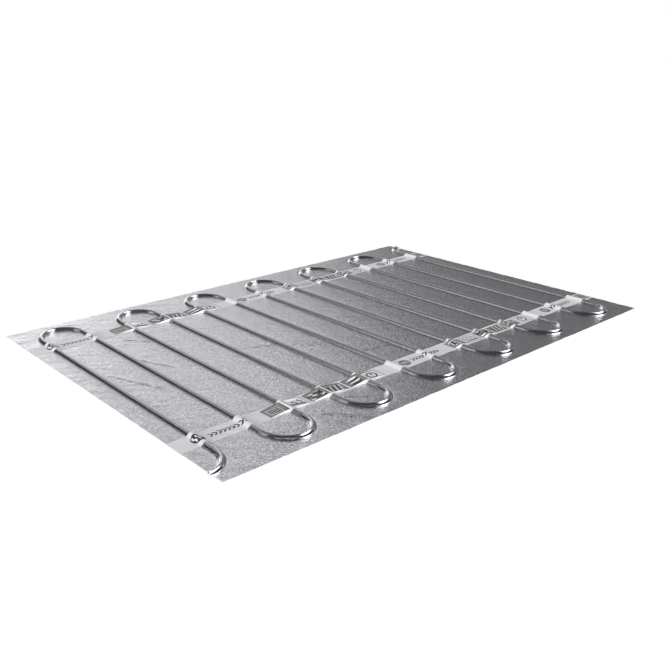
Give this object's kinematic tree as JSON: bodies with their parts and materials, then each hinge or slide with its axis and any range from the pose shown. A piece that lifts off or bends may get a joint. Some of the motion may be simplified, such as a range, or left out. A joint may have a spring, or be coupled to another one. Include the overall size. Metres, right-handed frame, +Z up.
{
  "type": "underfloor heating mat",
  "caption": "Flat rectangular foil heating mat with a serpentine cable laminated inside, which shows as raised ridges, and printed tapes along its length.",
  "frame": {"origin": "middle of the mat's underside, on the surface it lies on", "axes": "+X along the mat's length, +Y across it towards the back edge, +Z up"},
  "size_m": [0.728, 0.5, 0.0045],
  "materials": {
    "cover_foil": "rolled foil, satin, finely crinkled",
    "backing_foil": "rolled foil, matt side",
    "cable_sheath": "extruded sheath",
    "printed_tape": "milky film tape with dark grey print"
  },
  "bodies": {
    "root": {"backing_foil": "backing_foil", "heating_cable": "cable_sheath", "cover_foil": "cover_foil", "front_tape": "printed_tape", "back_tape": "printed_tape"}
  },
  "joints": []
}
